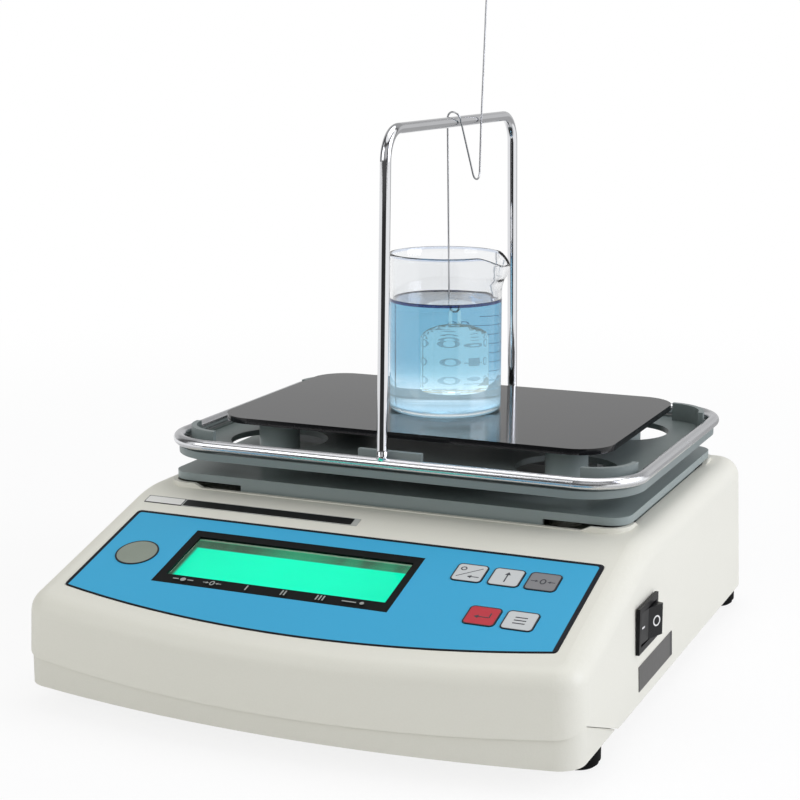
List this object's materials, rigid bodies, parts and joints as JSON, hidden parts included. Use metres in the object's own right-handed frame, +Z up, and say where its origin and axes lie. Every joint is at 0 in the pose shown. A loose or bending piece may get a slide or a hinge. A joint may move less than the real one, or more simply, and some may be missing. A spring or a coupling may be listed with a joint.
{
  "type": "benchtop liquid density meter",
  "caption": "Bench balance that weighs a glass sinker hung from a wire arch into a beaker of liquid, with a sloping key panel, display, rocker switch and levelling feet.",
  "frame": {"origin": "on the bench, below the middle of the case", "axes": "+X to the right of a person who faces the keys, +Y to the back, +Z up"},
  "size_m": [0.2391, 0.267, 0.2901],
  "materials": {
    "case_plastic": "satin, fine grain",
    "panel_film": "satin film",
    "display_black": "gloss",
    "display_clear": "clear",
    "lcd": "lit green",
    "backlight": "diffusing",
    "circuit_board": "solder mask",
    "dome_steel": "bright",
    "key_light": "satin film",
    "key_dark": "satin film",
    "key_red": "satin film",
    "badge": "satin",
    "strip": "satin film",
    "switch_black": "satin",
    "label": "printed film",
    "jack_black": "satin",
    "fastener": "zinc plated",
    "aluminium": "milled",
    "tray_grey": "satin",
    "pad_rubber": "matt",
    "plate_black": "mirror-like gloss",
    "chrome": "polished",
    "clear_glass": "clear",
    "foot_black": "serrated edge",
    "stud_steel": "threaded",
    "brass": "turned",
    "cable_sheath": "matt"
  },
  "bodies": {
    "case": {"top_cover": "case_plastic", "bottom_chassis": "case_plastic", "membrane_panel": "panel_film", "display_frame": "display_black", "display_window": "display_clear", "lcd_glass": "lcd", "lcd_backlight": "backlight", "display_board": "circuit_board", "main_board": "circuit_board", "key_domes": "dome_steel", "round_badge": "badge", "name_strip": "strip", "rocker_housing": "switch_black", "side_label": "label", "power_jack": "jack_black", "jack_nut": "fastener", "load_cell_screws": "fastener", "overload_stop": "fastener", "display_screws": "fastener", "lower_tray_screws": "fastener", "board_screws": "fastener", "case_screws": "fastener", "load_cell": "aluminium", "load_cell_riser": "aluminium", "lower_tray": "tray_grey", "plate_pads": "pad_rubber", "beaker_plate": "plate_black", "foot_inserts": "brass", "display_cable": "cable_sheath", "load_cell_cable": "cable_sheath", "power_cable": "cable_sheath", "switch_cable": "cable_sheath"},
    "rocker": {"rocker_paddle": "switch_black"},
    "pan": {"pan_support": "aluminium", "pan_support_pads": "pad_rubber", "pan_support_screws": "fastener", "weighing_tray": "tray_grey"},
    "frame": {"frame_ring": "chrome", "frame_arch": "chrome"},
    "hook": {"hook_wire": "chrome"},
    "sinker_body": {"sinker": "clear_glass"},
    "beaker_body": {"beaker": "clear_glass"},
    "key_set_body": {"key_set": "key_light"},
    "key_up_body": {"key_up": "key_light"},
    "key_zero_body": {"key_zero": "key_dark"},
    "key_enter_body": {"key_enter": "key_red"},
    "key_function_body": {"key_function": "key_light"},
    "foot_front_left": {"foot_knob_front_left": "foot_black", "foot_stud_front_left": "stud_steel"},
    "foot_front_right": {"foot_knob_front_right": "foot_black", "foot_stud_front_right": "stud_steel"},
    "foot_back_left": {"foot_knob_back_left": "foot_black", "foot_stud_back_left": "stud_steel"},
    "foot_back_right": {"foot_knob_back_right": "foot_black", "foot_stud_back_right": "stud_steel"}
  },
  "joints": [
    {"name": "power_rocker", "type": "hinge", "parent": "case", "child": "rocker", "pos_m": [0.11591, -0.0392, 0.04], "axis": [0, 0, 1], "range_deg": [0, 26]},
    {"name": "pan_deflection", "type": "slide", "parent": "case", "child": "pan", "axis": [0, 0, -1], "range_m": [0, 0.0005], "stiffness_N_per_m": 12000, "springref_m": -0.00045, "deforming": ["load_cell"]},
    {"name": "frame_lift", "type": "slide", "parent": "pan", "child": "frame", "axis": [0, 0, 1], "range_m": [0, 0.085]},
    {"name": "hook_lift", "type": "slide", "parent": "frame", "child": "hook", "axis": [-0.0105, 0, 0.9999], "range_m": [0, 0.072]},
    {"name": "sinker_swing", "type": "hinge", "parent": "hook", "child": "sinker_body", "pos_m": [0.0013, 0.0455, 0.1447], "axis": [0, 1, 0], "range_deg": [-8, 8]},
    {"name": "beaker_lift", "type": "slide", "parent": "case", "child": "beaker_body", "axis": [0, 0, 1], "range_m": [0, 0.002]},
    {"name": "press_set", "type": "slide", "parent": "case", "child": "key_set_body", "axis": [0, 0.2756, -0.9613], "range_m": [0, 0.0004], "stiffness_N_per_m": 4000, "springref_m": -0.0001},
    {"name": "press_up", "type": "slide", "parent": "case", "child": "key_up_body", "axis": [0, 0.2756, -0.9613], "range_m": [0, 0.0004], "stiffness_N_per_m": 4000, "springref_m": -0.0001},
    {"name": "press_zero", "type": "slide", "parent": "case", "child": "key_zero_body", "axis": [0, 0.2756, -0.9613], "range_m": [0, 0.0004], "stiffness_N_per_m": 4000, "springref_m": -0.0001},
    {"name": "press_enter", "type": "slide", "parent": "case", "child": "key_enter_body", "axis": [0, 0.2756, -0.9613], "range_m": [0, 0.0004], "stiffness_N_per_m": 4000, "springref_m": -0.0001},
    {"name": "press_function", "type": "slide", "parent": "case", "child": "key_function_body", "axis": [0, 0.2756, -0.9613], "range_m": [0, 0.0004], "stiffness_N_per_m": 4000, "springref_m": -0.0001},
    {"name": "turn_foot_front_left", "type": "hinge", "parent": "case", "child": "foot_front_left", "pos_m": [-0.1062, -0.0905, 0.004], "axis": [0, 0, 1], "continuous": true},
    {"name": "turn_foot_front_right", "type": "hinge", "parent": "case", "child": "foot_front_right", "pos_m": [0.1062, -0.0905, 0.004], "axis": [0, 0, 1], "continuous": true},
    {"name": "turn_foot_back_left", "type": "hinge", "parent": "case", "child": "foot_back_left", "pos_m": [-0.1062, 0.1215, 0.004], "axis": [0, 0, 1], "continuous": true},
    {"name": "turn_foot_back_right", "type": "hinge", "parent": "case", "child": "foot_back_right", "pos_m": [0.1062, 0.1215, 0.004], "axis": [0, 0, 1], "continuous": true}
  ]
}
